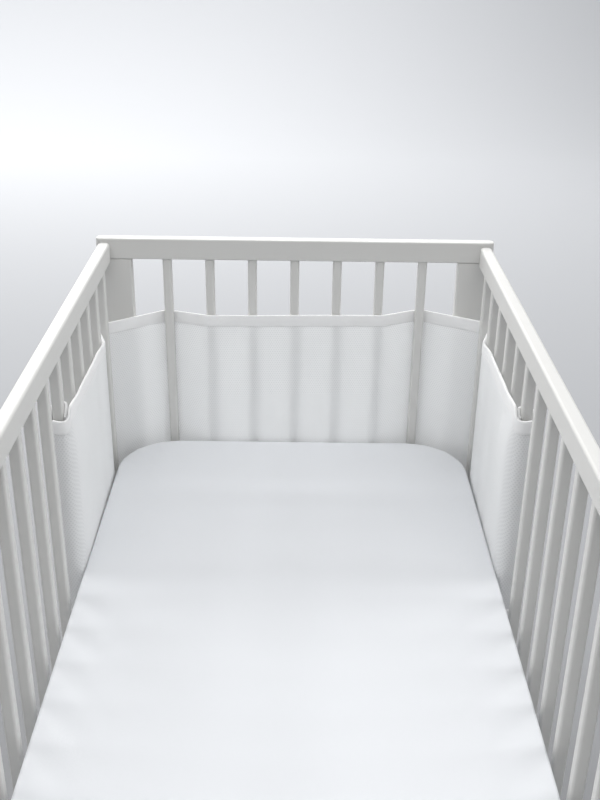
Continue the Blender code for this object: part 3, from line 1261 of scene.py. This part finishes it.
@dataclass
class Mattress:
    """The mattress in its fitted sheet."""

    corner: float = 0.100
    edge: float = 0.005
    foot_edge: float = 0.012
    edge_steps: int = 8
    wall_rows: int = 8
    crown: float = 0.004
    fuller: float = 0.0011  # how much wider it is on each side than its CAD solid
    fill: float = 0.9
    corner_steps: int = 32
    short_spans: int = 50
    long_spans: int = 110
    top_rings: int = 56
    last_ring: float = 0.004  # half the width of the innermost ring, and its corners' radius
    creases: tuple[Crease, ...] = (
        Crease(-0.255, 0.545, 0.009, 0.045, 0.0012, -0.8),
        Crease(-0.232, 0.566, 0.007, 0.030, 0.0009, -0.35),
        Crease(-0.272, 0.520, 0.007, 0.030, 0.0009, -1.6),
        Crease(0.258, 0.548, 0.010, 0.040, 0.0012, 0.75),
        Crease(0.235, 0.570, 0.007, 0.026, 0.0009, 0.3),
        Crease(0.274, 0.515, 0.007, 0.030, 0.0010, 1.5),
        Crease(-0.100, 0.200, 0.030, 0.250, 0.0009, 0.15),
        Crease(0.140, -0.150, 0.035, 0.300, 0.0009, -0.10),
        Crease(-0.050, -0.400, 0.030, 0.200, 0.0008, 0.20),
    )
    cloth: PlainCloth = PlainCloth(
        "fitted_sheet", light=(0.80, 0.816, 0.842), dull=(0.775, 0.791, 0.817), weave=0.0007, relief=0.00025
    )

    def rings(self, low: Vector, high: Vector) -> list[Point]:
        """The mattress's profile.

        Args:
            low: The lowest corner of its box.
            high: The highest corner of its box.

        Returns:
            Each ring's inset from the outline and its height.
        """
        shoulder = high.z - self.crown
        rings = [(inset, low.z + up) for inset, up in rounded_edge(self.foot_edge, self.edge_steps)]
        wall = np.linspace(rings[-1][1], shoulder - self.edge, self.wall_rows + 1)[1:-1]
        rings += [(0.0, float(z)) for z in wall]
        rings += [(inset, shoulder - up) for inset, up in reversed(rounded_edge(self.edge, self.edge_steps))]
        reach = (high.x - low.x) / 2 - self.last_ring
        for inset in np.linspace(self.edge, reach, self.top_rings)[1:]:
            share = (inset - self.edge) / (reach - self.edge)
            rings.append((float(inset), shoulder + self.crown * math.sin(share * math.pi / 2)))
        return rings

    def spaced(self, outline: list[Point]) -> list[Point]:
        """An outline with points added along its straight sides.

        Args:
            outline: A rounded rectangle, whose corners have corner_steps spans each.

        Returns:
            The same outline with short_spans spans in each short side and long_spans in each long side.
        """
        points = []
        corner_points = self.corner_steps + 1
        for corner in range(4):
            points += outline[corner * corner_points : (corner + 1) * corner_points]
            following = outline[(corner + 1) * corner_points % len(outline)]
            spans = self.long_spans if corner % 2 else self.short_spans
            points += between(points[-1], following, spans)
        return points

    def build(self) -> None:
        """Builds the mattress over its CAD solid."""
        low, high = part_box("mattress")
        middle = (low + high) / 2
        width, length = high.x - low.x + 2 * self.fuller, high.y - low.y
        rings = []
        for inset, z in self.rings(low, high):
            radius = max(self.corner - inset, self.last_ring)
            outline = rounded_outline((width - 2 * inset, length - 2 * inset), radius, self.corner_steps)
            rings.append([(middle.x + x, middle.y + y, z) for x, y in self.spaced(outline)])
        points = np.array(rings)
        on_top = smooth_step(points[..., 2], high.z - self.crown - self.edge, high.z - self.crown)
        points[..., 2] += on_top * sum(crease.rise(points[..., 0], points[..., 1]) for crease in self.creases)
        mesh = skinned_mesh("fitted_sheet", points)
        piece = add_piece("mattress_in_sheet", mesh, self.cloth.material())
        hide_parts("mattress")


@dataclass
class Crib:
    """The crib's timber."""

    side_rail: Rounding = Rounding(upright=0.009, edge=0.004)
    end_rail: Rounding = Rounding(upright=0.009, edge=0.0022)
    post: Rounding = Rounding(upright=0.003, edge=0.0016)
    slat: Rounding = Rounding(upright=0.0036, edge=0.0008)

    def timber(self, node: str) -> tuple[Rounding, Axis]:
        """How a CAD piece's timber is rounded, and the way that its grain runs.

        Args:
            node: The CAD piece.

        Returns:
            Its rounding and its grain.
        """
        if "rail" in node:
            return (self.side_rail, Axis.Y) if node.startswith("side_") else (self.end_rail, Axis.X)
        return (self.post, Axis.Z) if "post" in node else (self.slat, Axis.Z)

    def build(self) -> None:
        """Rounds and paints the timber. The foot panel and the base keep their CAD shape."""
        paints = {axis: Paint(axis).material() for axis in Axis}
        plain = {"base_board": BareWood().material(), "foot_panel": paints[Axis.Z]}
        for node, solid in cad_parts.items():
            if node in plain:
                solid.data.materials.clear()
                solid.data.materials.append(plain[node])
            elif any(word in node for word in ("rail", "post", "slat")):
                rounding, grain = self.timber(node)
                name = f"painted_{node}"
                piece = add_piece(name, rounding.mesh(name, *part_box(node)), paints[grain])
                piece.modifiers.new("even_faces", "WEIGHTED_NORMAL")
                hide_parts(node)


@dataclass(frozen=True)
class SoftLight:
    """A rectangular light that the camera doesn't see."""

    name: str
    at: tuple[float, float, float]
    towards: tuple[float, float, float]
    size: Point
    watts: float
    colour: Colour = (1.0, 1.0, 1.0)

    def add(self) -> None:
        """Hangs the light in the scene."""
        data = bpy.data.lights.new(self.name, "AREA")
        data.shape = "RECTANGLE"
        data.size, data.size_y = self.size
        data.energy = self.watts
        data.color = self.colour
        lamp = bpy.data.objects.new(self.name, data)
        aim = Vector(self.towards) - Vector(self.at)
        turned = aim.to_track_quat("-Z", "Y").to_matrix().to_4x4()
        lamp.matrix_world = Matrix.Translation(self.at) @ turned
        lamp.visible_camera = False
        bpy.context.scene.collection.objects.link(lamp)


@dataclass
class Studio:
    """The floor, the lights and the camera."""

    picture: tuple[int, int] = (600, 800)
    focal: float = 1035.8  # in the picture's pixels
    sensor: float = 36.0  # millimetres
    camera_at: tuple[float, float, float] = (0.0043, -1.0408, 1.3561)
    pitch: float = math.radians(25.76)
    yaw: float = math.radians(-0.26)
    roll: float = math.radians(-0.82)
    nearest: float = 0.05
    farthest: float = 60.0
    floor_half_width: float = 12.0
    floor_front: float = -8.0
    floor_back: float = 5.0
    backdrop_curve: float = 2.0
    backdrop_steps: int = 12
    backdrop_top: float = 9.0
    room: float = 0.345
    room_colour: Colour = (0.97, 0.985, 1.0)
    lights: tuple[SoftLight, ...] = (
        SoftLight("back", (-1.3, 6.2, 2.8), (0.0, 0.0, 0.8), (5.6, 4.6), 425.0, (1.0, 0.99, 0.98)),
        SoftLight("backdrop", (-0.6, 3.0, 4.5), (-0.6, 8.0, 1.0), (8.0, 1.5), 385.0),
        SoftLight("ceiling", (0.0, -0.5, 3.0), (0.0, 0.1, 0.5), (3.4, 2.0), 37.5),
        SoftLight("side_left", (-2.4, 0.9, 2.2), (0.3, 0.3, 0.6), (1.6, 1.6), 23.0),
        SoftLight("side_right", (2.4, 0.9, 2.2), (-0.3, 0.3, 0.6), (1.6, 1.6), 26.0),
    )

    def camera(self) -> None:
        """The camera at the photograph's viewpoint."""
        level = math.cos(self.pitch)
        ahead = Vector((-math.sin(self.yaw) * level, math.cos(self.yaw) * level, -math.sin(self.pitch)))
        right = Vector((math.cos(self.yaw), math.sin(self.yaw), 0.0))
        down = ahead.cross(right)
        picture_right = math.cos(self.roll) * right + math.sin(self.roll) * down
        picture_down = -math.sin(self.roll) * right + math.cos(self.roll) * down
        turned = Matrix((picture_right, -picture_down, -ahead)).transposed().to_4x4()
        data = bpy.data.cameras.new("camera")
        data.sensor_width = self.sensor
        data.lens = self.focal * self.sensor / max(self.picture)
        data.clip_start = self.nearest
        data.clip_end = self.farthest
        camera = bpy.data.objects.new("camera", data)
        camera.matrix_world = Matrix.Translation(self.camera_at) @ turned
        bpy.context.scene.collection.objects.link(camera)
        bpy.context.scene.camera = camera

    def floor(self) -> None:
        """A pale floor that turns up into a backdrop far behind the crib."""
        profile = [(self.floor_front, 0.0), (self.floor_back, 0.0)]
        for angle in np.linspace(0, math.pi / 2, self.backdrop_steps + 1)[1:]:
            y = self.floor_back + self.backdrop_curve * math.sin(angle)
            profile.append((y, self.backdrop_curve * (1 - math.cos(angle))))
        profile.append((self.floor_back + self.backdrop_curve, self.backdrop_top))
        bm = bmesh.new()
        sides = (-self.floor_half_width, self.floor_half_width)
        rows = [[bm.verts.new((x, y, z)) for y, z in profile] for x in sides]
        for here in range(len(profile) - 1):
            bm.faces.new((rows[0][here], rows[1][here], rows[1][here + 1], rows[0][here + 1]))
        mesh = bpy.data.meshes.new("studio_floor")
        bm.to_mesh(mesh)
        bm.free()
        mesh.shade_smooth()
        mesh.materials.append(FloorFinish().material())
        ground = bpy.data.objects.new("studio_floor", mesh)
        bpy.context.scene.collection.objects.link(ground)

    def build(self) -> None:
        """Sets up the studio."""
        self.camera()
        self.floor()
        world = bpy.data.worlds.new("studio")
        world.use_nodes = True
        background = world.node_tree.nodes["Background"]
        background.inputs["Color"].default_value = (*self.room_colour, 1.0)
        background.inputs["Strength"].default_value = self.room
        bpy.context.scene.world = world
        bpy.context.scene.view_settings.view_transform = "Standard"
        for light in self.lights:
            light.add()


def main() -> None:
    """Builds the studio, the bumper, the mattress and the crib."""
    Studio().build()
    Bumper().build()
    Mattress().build()
    Crib().build()


if __name__ == "__main__":
    logging.basicConfig(level=logging.INFO)
    main()
